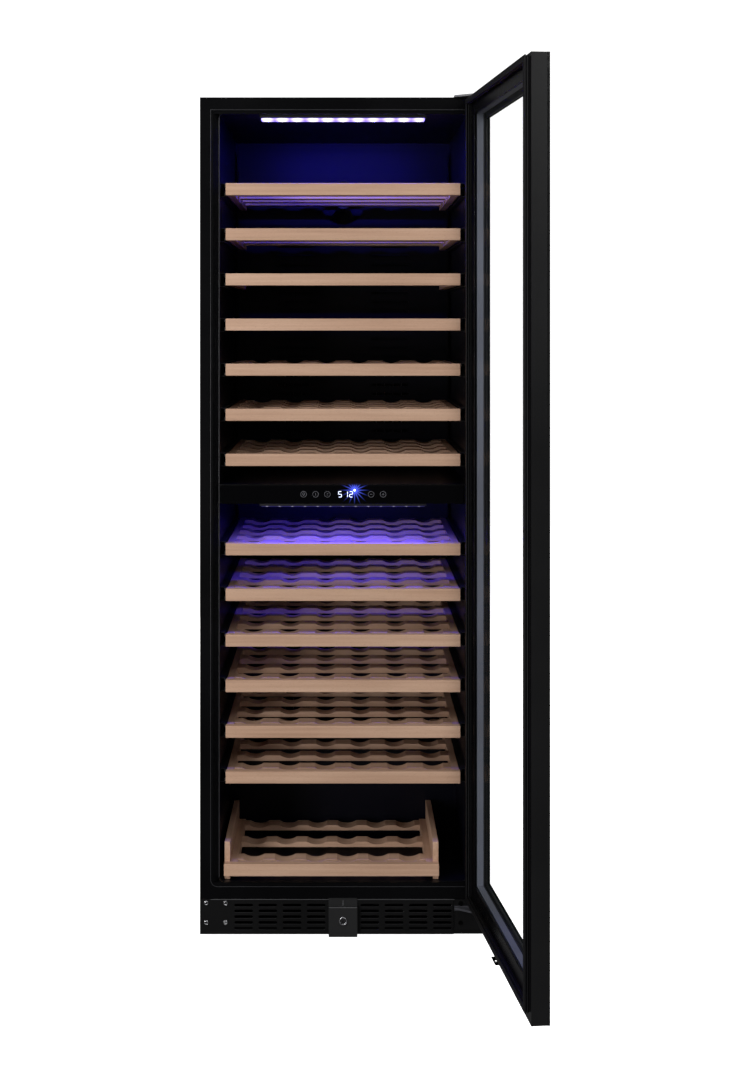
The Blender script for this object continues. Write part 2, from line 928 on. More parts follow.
    @classmethod
    def loft_ring(cls, name: str, outer: Sequence[Sequence[float]], at: Matrix) -> Any:
        """Bridges rectangles into a closed frame-shaped skin.

        Args:
            name: The piece's name.
            outer: Rows of (left, right, bottom, top, depth), in order round the frame's section.
            at: Placement of the finished skin.

        Returns:
            The new object.
        """
        loops = []
        for left, right, bottom, top, depth in outer:
            cls.take()
            bpy.ops.mesh.primitive_plane_add(size=1, location=((left + right) / 2, depth, (bottom + top) / 2),
                                             rotation=(math.pi / 2, 0, 0))
            loop = bpy.context.object
            loop.scale = (right - left, top - bottom, 1)
            bpy.ops.object.transform_apply(location=True, rotation=True, scale=True)
            loops.append(loop)
        piece = cls.join(name, *loops)
        bpy.ops.object.mode_set(mode="EDIT")
        bpy.ops.mesh.select_all(action="SELECT")
        bpy.ops.mesh.delete(type="ONLY_FACE")
        bpy.ops.object.mode_set(mode="OBJECT")
        count = len(outer)
        for first in range(count):
            second = (first + 1) % count
            cls.pick_edges(piece, lambda one, two: one.index // 4 == two.index // 4
                           and one.index // 4 in (first, second))
            bpy.ops.mesh.bridge_edge_loops()
            bpy.ops.object.mode_set(mode="OBJECT")
        bpy.ops.object.mode_set(mode="EDIT")
        bpy.ops.mesh.select_all(action="SELECT")
        bpy.ops.mesh.normals_make_consistent(inside=False)
        bpy.ops.object.mode_set(mode="OBJECT")
        piece.data.transform(at)
        return piece


@dataclass
class Place:
    """Where a piece belongs.

    Attributes:
        body: The moving body that it rides on.
        slot: The finish slot in the record.
        stands_for: CAD nodes that it replaces.
    """

    body: str
    slot: str
    stands_for: tuple[str, ...] = ()

    def put(self, piece: Any, material: Any) -> Any:
        """Dresses a piece and fixes it to its body.

        Args:
            piece: The piece.
            material: Its material.

        Returns:
            The piece.
        """
        piece.data.materials.clear()
        piece.data.materials.append(material)
        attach(piece, self.body)
        if self.stands_for:
            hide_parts(*self.stands_for)
        LOG.info("%s on %s: %d faces", piece.name, self.body, len(piece.data.polygons))
        return piece


def corners(node: str) -> tuple[Vector, Vector]:
    """The lowest and highest corner of a CAD node, in metres."""
    low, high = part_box(node)
    return Vector(low), Vector(high)


def coat(material: Any, *nodes: str) -> None:
    """Gives CAD nodes a material.

    Args:
        material: The material.
        nodes: The CAD nodes.
    """
    for node in nodes:
        data = frame["nodes"][node].data
        data.materials.clear()
        data.materials.append(material)
        LOG.info("%s wears %s", node, material.name)


def refit(body: str, plan: Sequence[tuple[str, str, float, Any, str]]) -> None:
    """Replaces CAD nodes by softened copies of themselves.

    Args:
        body: The body that they ride on.
        plan: For each, the node, the copy's name, the width of its rounding, its material and its slot.
    """
    for node, name, width, material, slot_name in plan:
        Place(body, slot_name, (node,)).put(Bench.refine(node, name, width), material)


# ---------------------------------------------------------------- sub-assemblies


@dataclass
class Shelf:
    """One sliding shelf: beech front board, rails and hollowed slats, and steel runner members.

    Attributes:
        board_h: Height of the front board.
        board_t: Thickness of the front board.
        rail_w: Width of a side rail.
        slat_t: Thickness of a slat.
        slat_w: Width of a slat.
        slats: Number of slats.
        bottles: Hollows in one slat.
        hollow_r: Radius of a hollow.
        hollow_depth: Depth of a hollow.
        member_t: Width of the moving runner member.
        runner_l: Length of the runner.
        wall: Wall of the moving runner member.
        edge: Rounding of the wood's edges.
    """

    board_h: float = 25 * MM
    board_t: float = 20 * MM
    rail_w: float = 15 * MM
    slat_t: float = 12 * MM
    slat_w: float = 40 * MM
    slats: int = 5
    bottles: int = 6
    hollow_r: float = 42 * MM
    hollow_depth: float = 6 * MM
    member_t: float = 5.5 * MM
    runner_l: float = 450 * MM
    wall: float = 1.2 * MM
    edge: float = 1.1 * MM

    def slat(self, left: float, right: float, y: float, top: float, hollows: int) -> Any:
        """Models one slat with its row of hollows.

        Args:
            left: Left end.
            right: Right end.
            y: Front edge.
            top: Top face.
            hollows: How many hollows it has.

        Returns:
            The slat.
        """
        piece = Bench.block("slat", (left, y, top - self.slat_t), (right, y + self.slat_w, top))
        pitch = (right - left) / hollows
        drills = [
            Bench.rod("drill", (left + pitch * (k + 0.5), y + self.slat_w / 2,
                                top + self.hollow_r - self.hollow_depth),
                      self.hollow_r, self.slat_w * 1.5, "Y", 96)
            for k in range(hollows)
        ]
        Bench.cut(piece, *drills)
        return Bench.soften(piece, self.edge * 0.55, 2, 40)

    def rack(self, left: float, right: float, y0: float, y1: float, z: float, slats: int) -> Any:
        """Models two side rails and the slats between them.

        Args:
            left: Outer face of the left rail.
            right: Outer face of the right rail.
            y0: Front end.
            y1: Back end.
            z: Underside of the front board.
            slats: Number of slats.

        Returns:
            Rails and slats: (rails, slats).
        """
        inset, front_gap, back_gap = 2 * MM, 20 * MM, 10 * MM
        low, high = z + inset, z + self.board_h - inset
        rails = [
            Bench.bar("rail", (x, y0, low), (x + self.rail_w, y1, high), self.edge)
            for x in (left, right - self.rail_w)
        ]
        step = (y1 - y0 - self.slat_w - front_gap - back_gap) / (slats - 1)
        first = self.slat(left + self.rail_w, right - self.rail_w, y0 + front_gap, high, self.bottles)
        rows = [first] + [Bench.copy(first, "slat", (0, k * step, 0)) for k in range(1, slats)]
        return Bench.join("rails", *rails), Bench.join("slats", *rows)

    def member(self, side: int, face: float, y0: float, z: float) -> Any:
        """Models the moving member of a runner, a channel with its mouth to the liner.

        Args:
            side: -1 on the left, 1 on the right.
            face: The rail's outer face, as a distance from the middle.
            y0: Its front end.
            z: Underside of the front board.

        Returns:
            The member.
        """
        lip, low, high = 5 * MM, z + 1 * MM, z + self.board_h - 2 * MM
        near, far = sorted((side * face, side * (face + self.member_t)))
        open_by = self.wall if side > 0 else -self.wall
        piece = Bench.block("member", (near, y0, low), (far, y0 + self.runner_l, high))
        mouth = Bench.block("mouth", (near + open_by, y0 - lip, low + lip),
                            (far + open_by, y0 + self.runner_l + lip, high - lip))
        Bench.cut(piece, mouth)
        rivet_r, rivet_t, end_gap = 3.2 * MM, 1.4 * MM, 40 * MM
        x = side * (face + self.wall + 0.5 * MM)
        rivets = [
            Bench.rod("rivet", (x, y0 + reach, z + self.board_h / 2), rivet_r, rivet_t, "X", 20)
            for reach in (end_gap, self.runner_l / 2, self.runner_l - end_gap)
        ]
        return Bench.join("member", Bench.soften(piece, 0.25 * MM, 1), *rivets)

    def build(self, paints: Palette, count: int) -> None:
        """Builds every sliding shelf from one model.

        Args:
            paints: The finishes.
            count: How many shelves there are.
        """
        first, deep = corners("shelf_01")
        half = deep.x - self.member_t + 1 * MM
        y_rack = first.y + self.board_t
        z = first.z
        face = half - 1 * MM
        rails, slats = self.rack(-face, face, y_rack, deep.y, z, self.slats)
        members = Bench.join("members", *[self.member(s, face, y_rack + 2 * MM, z) for s in (-1, 1)])
        board = Bench.bar("board", (-half, first.y, z), (half, y_rack, z + self.board_h), self.edge, 3)
        models = {
            "front_board": (board, paints.board, "beech"),
            "rails": (rails, paints.rail, "beech"),
            "slats": (slats, paints.board, "beech"),
            "members": (members, paints.runner, "runner_steel"),
        }
        for k in range(count, 0, -1):
            node = f"shelf_{k:02d}"
            drop = corners(node)[0].z - z
            for part, (model, material, slot_name) in models.items():
                piece = model if k == 1 else Bench.copy(model, part, (0, 0, drop))
                piece.name = piece.data.name = f"{node}_{part}"
                Place(node, slot_name, (node,)).put(piece, material)


@dataclass
class BottomShelf(Shelf):
    """The fixed bottom shelf with its two end boards.

    Attributes:
        end_t: Thickness of an end board.
        end_h: Height of an end board over the front board's underside.
        foot: Height of the front board's underside over the end boards' foot.
        rows: Number of slats.
    """

    end_t: float = 12 * MM
    end_h: float = 66 * MM
    foot: float = 12 * MM
    rows: int = 3

    def build(self, paints: Palette, count: int = 1) -> None:
        """Builds the bottom shelf.

        Args:
            paints: The finishes.
            count: Not used; there is one bottom shelf.
        """
        low, high = corners("bottom_shelf")
        z = low.z + self.foot
        y_rack = low.y + self.board_t
        board = Bench.bar("bottom_front_board", (low.x, low.y, z), (high.x, y_rack, z + self.board_h),
                          self.edge, 3)
        rails, slats = self.rack(low.x + self.end_t, high.x - self.end_t, y_rack, high.y, z, self.rows)
        ends = [
            Bench.bar("end", (x, y_rack, low.z), (x + self.end_t, high.y, z + self.end_h), self.edge, 3)
            for x in (low.x, high.x - self.end_t)
        ]
        rails.name, slats.name = "bottom_rails", "bottom_slats"
        place = Place("cabinet", "beech", ("bottom_shelf",))
        place.put(board, paints.board)
        place.put(rails, paints.rail)
        place.put(slats, paints.board)
        place.put(Bench.join("bottom_end_boards", *ends), paints.rail)


@dataclass(frozen=True)
class OpeningBead:
    """One of the thin beads round the opening.

    Attributes:
        name: The piece's name.
        out: How far its outside stands beyond the liner sideways.
        up: How far its outside stands beyond the liner upwards and downwards.
        near: Its front, behind the frame's face.
        far: Its back, behind the frame's face.
        radius: Radius of its corners.
        width: Its width.
        square_top: Whether its two upper corners are square.
    """

    name: str
    out: float
    up: float
    near: float
    far: float
    radius: float
    width: float
    square_top: bool


STEP_BEAD = OpeningBead("step_bead", 18.3 * MM, 8.8 * MM, -0.15 * MM, 0.9 * MM, 14.8 * MM, 1.3 * MM, True)
LIP_BEAD = OpeningBead("lip_bead", 1.6 * MM, 1.6 * MM, 9.9 * MM, 12.2 * MM, 11.6 * MM, 1.7 * MM, False)


@dataclass
class Cabinet:
    """Shell, front frame, liners, ducts, plinth, back and feet.

    Attributes:
        shell_edge: Rounding of the folded shell.
        trim_edge: Rounding of moulded parts.
        pads: Number of pressed pads on the back.
        pad_h: Height of a pad.
        pad_margin: Distance of a pad from the back's side edges.
        pad_share: Half a pad's height, as a share of the pads' spacing.
        frame_side: Width of the frame's sides.
        slot_half: Half the length of a lip under a slot.
        slot_first: Middle of the plinth's first slot, from the middle of the cabinet.
        slot_pitch: Sideways spacing of the slots.
        slot_row: Upright spacing of the slots.
        screws: Places of the left screws in the plinth: from its left end, and from its foot.
    """

    shell_edge: float = 1.0 * MM
    trim_edge: float = 0.7 * MM
    pads: int = 6
    pad_h: float = 1.6 * MM
    pad_margin: float = 70 * MM
    pad_share: float = 0.36
    frame_side: float = 40 * MM
    slot_half: float = 18 * MM
    slot_first: float = 55.7 * MM
    slot_pitch: float = 50.3 * MM
    slot_row: float = 12 * MM
    screws: tuple[tuple[float, float], tuple[float, float]] = ((13.2 * MM, 53.5 * MM), (25 * MM, 65.3 * MM))

    def back(self) -> Any:
        """Models the back with its pressed pads.

        Returns:
            The back.
        """
        low, high = corners("rear_panel")
        panel = Bench.block("back_sheet", low, high)
        pitch = (high.z - low.z) / self.pads
        pads = []
        for k in range(self.pads):
            z = low.z + pitch * (k + 0.5)
            half = pitch * self.pad_share
            pad = Bench.block("bead", (low.x + self.pad_margin, high.y - 0.2 * MM, z - half),
                              (high.x - self.pad_margin, high.y + self.pad_h, z + half))
            pads.append(Bench.modify(pad, "BEVEL", width=1.2 * MM, segments=3, limit_method="ANGLE"))
        return Bench.smooth(Bench.join("back_sheet", panel, *pads), 40)

    def opening_beads(self, paints: Palette) -> None:
        """Builds the two thin beads round the opening: on the frame's step and on its lip.

        Args:
            paints: The finishes.
        """
        low, high = corners("front_frame")
        ceiling, floor = corners("liner_upper")[1].z - 2 * MM, corners("liner_lower")[0].z + 2 * MM
        half = high.x - self.frame_side
        for bead in (STEP_BEAD, LIP_BEAD):
            piece = Bench.bead(bead.name, (-half - bead.out, low.y + bead.near, floor - bead.up),
                               (half + bead.out, low.y + bead.far, ceiling + bead.up),
                               bead.radius, bead.width, bead.square_top)
            Place("cabinet", "frame_plastic").put(piece, paints.bead)

    def build(self, paints: Palette) -> None:
        """Builds the cabinet.

        Args:
            paints: The finishes.
        """
        refit("cabinet", [
            ("outer_shell", "shell", self.shell_edge, paints.shell, "black_steel"),
            ("front_frame", "front_frame_moulding", 0.8 * MM, paints.frame_black, "frame_plastic"),
            ("duct_cover_upper", "air_cover_upper", self.trim_edge, paints.liner, "liner_plastic"),
            ("duct_cover_lower", "air_cover_lower", self.trim_edge, paints.liner, "liner_plastic"),
            ("kick_grille", "kick_plate", 0.45 * MM, paints.plinth, "dark_plastic"),
            ("base_pan", "base_tray", 0.5 * MM, paints.base_black, "galvanised_steel"),
            ("rear_grille", "back_vents", 0.3 * MM, paints.sheet, "galvanised_steel"),
            ("power_inlet", "mains_inlet", 0.4 * MM, paints.moulded, "dark_plastic"),
            ("screws", "cross_screws", 0.35 * MM, paints.screw, "screw_steel"),
        ])
        Place("cabinet", "galvanised_steel", ("rear_panel",)).put(self.back(), paints.sheet)
        coat(paints.liner, "liner_upper", "liner_lower")
        coat(paints.foam, "insulation_foam", "zone_divider")
        coat(paints.runner, "shelf_runners")
        for corner in ("front_left", "front_right", "rear_left", "rear_right"):
            node = "foot_" + corner
            foot = Bench.refine(node, "levelling_" + node, 0.6 * MM, 2, 20)
            Place(node, "dark_plastic", (node,)).put(foot, paints.moulded)
        self.opening_beads(paints)
        self.dress_plinth(paints)

    def dress_plinth(self, paints: Palette) -> None:
        """Builds the plinth's light upper edge, the lip under each slot and the rims of the left screws.

        Args:
            paints: The finishes.
        """
        low, high = corners("kick_grille")
        first_lip, lip_h, proud, sunk = 8.4 * MM, 1.1 * MM, 0.5 * MM, 0.3 * MM
        middles = [side * (self.slot_first + k * self.slot_pitch) for side in (-1, 1) for k in range(4)]
        feet = [low.z + first_lip + k * self.slot_row for k in range(5)]
        lips = [
            Bench.block("lip", (x - self.slot_half, low.y - proud, z),
                        (x + self.slot_half, low.y + sunk, z + lip_h))
            for x in middles for z in feet
        ]
        lips = Bench.soften(Bench.join("plinth_lips", *lips), 0.3 * MM)
        Place("cabinet", "dark_plastic").put(lips, paints.lip)
        rim_r, wire, rim_proud = 3.4 * MM, 1.15 * MM, 1.9 * MM
        rims = [
            Bench.ring("rim", (low.x + x, low.y - rim_proud, low.z + z), rim_r, wire)
            for x in self.screws[0] for z in self.screws[1]
        ]
        rims = Bench.smooth(Bench.join("screw_rims", *rims))
        Place("cabinet", "screw_steel").put(rims, paints.bright)
        left_gap, right_gap, strip_h = 22 * MM, 66 * MM, 1.3 * MM
        strip = Bench.bar("plinth_highlight", (low.x + left_gap, low.y - 0.35 * MM, high.z - strip_h),
                          (high.x - right_gap, low.y + 0.4 * MM, high.z - 0.1 * MM), 0.25 * MM)
        Place("cabinet", "dark_plastic").put(strip, paints.edge_grey)


@dataclass
class ControlPanel:
    """Gloss fascia with its touch symbols, digits and pilot light.

    Attributes:
        icon_r: Radius of a symbol's ring.
        icon_x: Places of the symbols from the middle.
        digit_h: Height of a digit.
        digit_w: Width of a digit.
        stroke: Width of a digit's segment.
        proud: How far print and digits stand out.
        wire: Radius of the lines in a symbol.
        segments: Lit segments of each digit.
        readings: Each digit and its place from the middle.
        pilot: Place of the pilot light, from the middle and over the symbols' row.
    """

    icon_r: float = 6.0 * MM
    icon_x: tuple[float, ...] = (-82 * MM, -57 * MM, -32.5 * MM, 58.5 * MM, 83.5 * MM)
    digit_h: float = 11.5 * MM
    digit_w: float = 6.0 * MM
    stroke: float = 1.15 * MM
    proud: float = 0.25 * MM
    wire: float = 0.42 * MM
    segments: dict[str, str] = field(default_factory=lambda: {"1": "bc", "2": "abged", "5": "afgcd"})
    readings: tuple[tuple[str, float], ...] = (("5", -6.2 * MM), ("1", 6.4 * MM), ("2", 16.8 * MM))
    pilot: tuple[float, float] = (24 * MM, 8.5 * MM)

    def segment(self, letter: str, x: float, y: float, z: float) -> Any:
        """Models one segment of a digit as a bar with pointed ends.

        Args:
            letter: Which segment, a to g.
            x: The digit's middle.
            y: The fascia's face.
            z: The digit's middle.

        Returns:
            The segment.
        """
        half_w, half_h, s = self.digit_w / 2, self.digit_h / 2, self.stroke / 2
        spots = {"a": (0, half_h, True), "g": (0, 0, True), "d": (0, -half_h, True),
                 "b": (half_w, half_h / 2, False), "c": (half_w, -half_h / 2, False),
                 "f": (-half_w, half_h / 2, False), "e": (-half_w, -half_h / 2, False)}
        dx, dz, flat = spots[letter]
        reach = (self.digit_w if flat else half_h) / 2 - 0.25 * MM
        size = (reach, s) if flat else (s, reach)
        bar = Bench.block("segment", (x + dx - size[0], y - self.proud, z + dz - size[1]),
                          (x + dx + size[0], y + self.proud, z + dz + size[1]))
        return Bench.modify(bar, "BEVEL", width=s * 0.7, segments=1, limit_method="ANGLE")

    def digits(self, y: float, z: float) -> Any:
        """Models the two readings.

        Args:
            y: The fascia's face.
            z: Height of the digits' middle.

        Returns:
            All lit segments as one piece.
        """
        bars = []
        for sign, x in self.readings:
            bars += [self.segment(letter, x, y, z) for letter in self.segments[sign]]
        return Bench.join("readings", *bars)

    def symbols(self, y: float, z: float) -> Any:
        """Models the ring-shaped touch symbols with a mark in each.

        Args:
            y: The fascia's face.
            z: Height of the symbols' middle.

        Returns:
            The symbols as one piece.
        """
        short, middling, long = 2.4 * MM, 3 * MM, 5 * MM
        strokes = {  # for each symbol, its straight lines: height over the middle, length and axis
            0: [(-2.6 * MM, short, "X")],
            1: [(0, long, "Z")],
            2: [(-1.6 * MM, middling, "X"), (1.6 * MM, middling, "X")],
            3: [(0, long, "X")],
            4: [(0, long, "X"), (0, long, "Z")],
        }
        parts = []
        for k, x in enumerate(self.icon_x):
            parts.append(Bench.ring("symbol", (x, y, z), self.icon_r, self.wire))
            if k == 0:
                parts.append(Bench.ring("bulb", (x, y, z + 0.8 * MM), 2.2 * MM, self.wire))
            parts += [Bench.rod("stroke", (x, y, z + up), self.wire, length, axis, 8)
                      for up, length, axis in strokes[k]]
        return Bench.join("touch_symbols", *parts)

    def build(self, paints: Palette) -> None:
        """Builds the control panel.

        Args:
            paints: The finishes.
        """
        low, high = corners("control_fascia")
        z = (low.z + high.z) / 2
        panel = Bench.refine("control_fascia", "fascia", 0.9 * MM, 3)
        Place("cabinet", "fascia", ("control_fascia",)).put(panel, paints.fascia)
        Place("cabinet", "led").put(self.digits(low.y, z), paints.digit)
        Place("cabinet", "led").put(self.symbols(low.y, z), paints.symbol)
        lamp_r, lamp_t = 1.7 * MM, 0.7 * MM
        spot = (self.pilot[0], low.y - 0.1 * MM, z + self.pilot[1])
        lamp = Bench.rod("pilot_light", spot, lamp_r, lamp_t, "Y", 24)
        Place("cabinet", "led").put(Bench.soften(lamp, 0.3 * MM), paints.pilot)
        edge = Bench.bar("fascia_top_edge", (low.x, low.y - 0.2 * MM, high.z - 0.9 * MM),
                         (high.x, low.y + 1.5 * MM, high.z + 0.1 * MM), 0.2 * MM)
        Place("cabinet", "fascia").put(edge, paints.plinth)
        coat(paints.circuit, "display_module")


@dataclass
class LightBar:
    """One light bar: housing, diffuser and diodes.

    Attributes:
        node: The CAD node.
        zone: A short name for its zone.
        diodes: Number of diodes.
        rim: Width of the housing's rim.
        end_gap: Distance of the first diode from the housing's end.
        drop: How far the lens hangs below the housing.
        dim: Whether the lens is the dim one.
    """

    node: str
    zone: str
    diodes: int = 11
    rim: float = 3 * MM
    end_gap: float = 15 * MM
    drop: float = 2.6 * MM
    dim: bool = False

    def build(self, paints: Palette) -> None:
        """Builds the light bar.

        Args:
            paints: The finishes.
        """
        low, high = corners(self.node)
        housing = Bench.block("housing", (low.x, low.y, low.z + 1.5 * MM), high)
        tray = Bench.block("tray", (low.x + self.rim, low.y + self.rim, low.z - self.rim),
                           (high.x - self.rim, high.y - self.rim, low.z + 4 * MM))
        Bench.soften(Bench.cut(housing, tray), 0.5 * MM)
        housing.name = f"light_housing_{self.zone}"
        Place("cabinet", "dark_plastic", (self.node,)).put(housing, paints.moulded)
        lit = Place("cabinet", "led", (self.node,))
        face = low.z - self.drop
        lens = Bench.bar(f"light_lens_{self.zone}", (low.x + self.rim, low.y + self.rim, face),
                         (high.x - self.rim, high.y - self.rim, low.z + 3.6 * MM), 1.2 * MM, 3)
        lit.put(lens, paints.diffuser_dim if self.dim else paints.diffuser)
        pitch = (high.x - low.x - 2 * self.end_gap) / (self.diodes - 1)
        first, y = low.x + self.end_gap, (low.y + high.y) / 2
        chip_t, chip_r, chip_tip = 1.0 * MM, 2.4 * MM, 2.8 * MM
        chips = [
            Bench.rod("diode", (first + k * pitch, y, face - 0.4 * MM), chip_r, chip_t, "Z", 16, chip_tip)
            for k in range(self.diodes)
        ]
        lit.put(Bench.join(f"diodes_{self.zone}", *chips), paints.diode)


@dataclass
class Hardware:
    """Hinges and lock.

    Attributes:
        edge: Rounding of the hinge brackets.
        bezel_r: Radius of the bright ring round the key cylinder.
        wire: Radius of that ring's wire.
    """

    edge: float = 0.5 * MM
    bezel_r: float = 7.4 * MM
    wire: float = 1.1 * MM

    def build(self, paints: Palette) -> None:
        """Builds hinges and lock.

        Args:
            paints: The finishes.
        """
        refit("cabinet", [
            ("hinge_bracket_upper", "upper_hinge", self.edge, paints.hinge, "hinge_steel"),
            ("hinge_bracket_lower", "lower_hinge", self.edge, paints.hinge_dark, "hinge_steel"),
            ("lock_housing", "lock_case", 0.9 * MM, paints.moulded, "dark_plastic"),
        ])
        refit("lock_cylinder", [("lock_cylinder", "key_cylinder", 0.3 * MM, paints.enamel, "lock_steel")])
        refit("lock_bolt", [("lock_bolt", "bolt", 0.3 * MM, paints.screw, "screw_steel")])
        refit("door", [
            ("lock_strike", "strike_plate", 0.25 * MM, paints.base_black, "hinge_steel"),
            ("door_hinge_blocks", "door_hinge_bushes", 0.6 * MM, paints.moulded, "dark_plastic"),
        ])
        self.dress_lock(paints)

    def dress_lock(self, paints: Palette) -> None:
        """Builds the lock's bright details.

        Args:
            paints: The finishes.
        """
        low, high = corners("lock_housing")
        door_foot = corners("door_frame")[0].z
        seam = Bench.block("seam", (low.x + 1 * MM, low.y - 0.3 * MM, door_foot - 1.6 * MM),
                           (high.x - 1 * MM, low.y + 0.3 * MM, door_foot + 0.2 * MM))
        tick = Bench.block("tick", (-1 * MM, low.y + 8.2 * MM, door_foot + 0.4 * MM),
                           (1 * MM, low.y + 9 * MM, high.z - 4 * MM))
        lines = Bench.soften(Bench.join("lock_lines", seam, tick), 0.2 * MM)
        Place("cabinet", "dark_plastic").put(lines, paints.edge_grey)
        low, high = corners("lock_cylinder")
        middle = (low + high) / 2
        spot = (middle.x, low.y + 0.2 * MM, middle.z)
        bezel = Bench.smooth(Bench.ring("key_bezel", spot, self.bezel_r, self.wire))
        Place("lock_cylinder", "lock_steel").put(bezel, paints.bright)


@dataclass
class Door:
    """The glass door, modelled closed and then swung to its rest angle.

    Attributes:
        half: Half its width.
        face: Depth of its outer face.
        inner: Depth of its inner face.
        cover: Thickness of the outer pane.
        flange: Thickness of the profile's flange.
        window: Side, top and bottom margins of the window.
        sight: Side, top and bottom margins of the inner trim.
        seal_inset: Side, top and bottom margins of the gasket.
        open_angle: Angle at rest, in degrees.
    """

    half: float = 295 * MM
    face: float = -355 * MM
    inner: float = -322 * MM
    cover: float = 5 * MM
    flange: float = 3 * MM
    window: Vec = (50 * MM, 47 * MM, 68 * MM)
    sight: Vec = (48 * MM, 40 * MM, 64 * MM)
    seal_inset: Vec = (6 * MM, 4 * MM, 20 * MM)
    open_angle: float = 96.0

    def swing(self) -> Matrix:
        """The move from the closed place to the rest place.

        Returns:
            The matrix.
        """
        joint = next(j for j in frame["record"]["behaviour"]["joints"] if j["name"] == "door_hinge")
        pivot = Matrix.Translation(Vector(joint["pos_m"]))
        return pivot @ Matrix.Rotation(math.radians(self.open_angle), 4, "Z") @ pivot.inverted()

    def row(self, margin: Vec, depth: float) -> tuple[float, float, float, float, float]:
        """A rectangle for Bench.loft_ring.

        Args:
            margin: Side, top and bottom margins from the door's edge.
            depth: Its depth.

        Returns:
            Left, right, bottom, top and depth.
        """
        low, high = corners("door_frame")
        side, top, bottom = margin
        return -self.half + side, self.half - side, low.z + bottom, high.z - top, depth

    def ring(self, name: str, section: Sequence[tuple[Vec, float]]) -> Any:
        """Models a frame-shaped piece from its section.

        Args:
            name: The piece's name.
            section: (margins, depth) pairs in order round the section.

        Returns:
            The piece, swung to its rest place.
        """
        return Bench.loft_ring(name, [self.row(margin, depth) for margin, depth in section], self.swing())

    @staticmethod
    def wider(margin: Vec, by: float) -> Vec:
        """Margins moved inwards by the same amount."""
        return tuple(part + by for part in margin)

    def gasket(self) -> Any:
        """Models the magnetic gasket with its bellows.

        Returns:
            The gasket.
        """
        # Margin and depth of each corner of the section, in millimetres.
        section = [(2.0, 0.0), (2.0, 2.4), (0.4, 3.4), (0.0, 4.8), (0.9, 6.2), (2.2, 6.9), (0.9, 7.6),
                   (0.2, 8.6), (0.2, 10.4), (0.9, 11.1), (6.0, 11.2), (11.1, 11.1), (11.8, 10.4), (11.8, 8.6),
                   (11.1, 7.6), (9.8, 6.9), (11.1, 6.2), (12.0, 4.8), (11.6, 3.4), (10.0, 2.4), (10.0, 0.0)]
        rows = [(self.wider(self.seal_inset, m * MM), self.inner + d * MM) for m, d in section]
        return Bench.smooth(self.ring("magnetic_gasket", rows), 50)

    def slab(self, name: str, margin: Vec, near: float, far: float) -> Any:
        """Models a block in the closed place.

        Args:
            name: The piece's name.
            margin: Side, top and bottom margins from the door's edge.
            near: Depth of its front.
            far: Depth of its back.

        Returns:
            The block.
        """
        left, right, bottom, top, _ = self.row(margin, near)
        return Bench.block(name, (left, near, bottom), (right, far, top))

    def border(self) -> Any:
        """Models the black print round the outer pane and over its ground edge.

        Returns:
            The border.
        """
        film, ledge, past = 0.15 * MM, 2 * MM, 1 * MM
        back = self.face + self.cover
        piece = self.slab("pane_border_print", (-film,) * 3, self.face - film, back)
        Bench.cut(piece, self.slab("pocket", (ledge,) * 3, self.face + film, back + past))
        Bench.cut(piece, self.slab("window", self.window, self.face - past, self.face + past))
        Bench.soften(piece, 0.12 * MM)
        piece.data.transform(self.swing())
        return piece

    def sealant(self) -> Any:
        """Models the dark sealant bead between the flange and the spacer.

        Returns:
            The bead.
        """
        start = self.face + self.cover + self.flange
        inside = self.wider(self.sight, -1.5 * MM)
        # Margin beyond the inside and depth from the start of each corner, in millimetres.
        section = [(-4.0, 0.0), (-4.0, 5.0), (-0.2, 5.0), (0.5, 2.5), (0.0, 0.0)]
        rows = [(self.wider(inside, m * MM), start + d * MM) for m, d in section]
        return self.ring("edge_sealant", rows)

    def build(self, paints: Palette) -> None:
        """Builds the door.

        Args:
            paints: The finishes.
        """
        refit("door", [
            ("door_frame", "door_profiles", 0.7 * MM, paints.anodised, "door_aluminium"),
            ("door_trim", "door_inner_trim", 0.7 * MM, paints.frame_black, "frame_plastic"),
            ("glass_spacer", "pane_spacer", 0.4 * MM, paints.spacer, "spacer"),
        ])
        Place("door", "gasket_rubber", ("door_gasket",)).put(self.gasket(), paints.seal)
        Place("door", "frame_plastic").put(self.border(), paints.border)
        Place("door", "gasket_rubber").put(self.sealant(), paints.seal)
        coat(paints.glass, "door_glass_outer", "door_glass_inner")


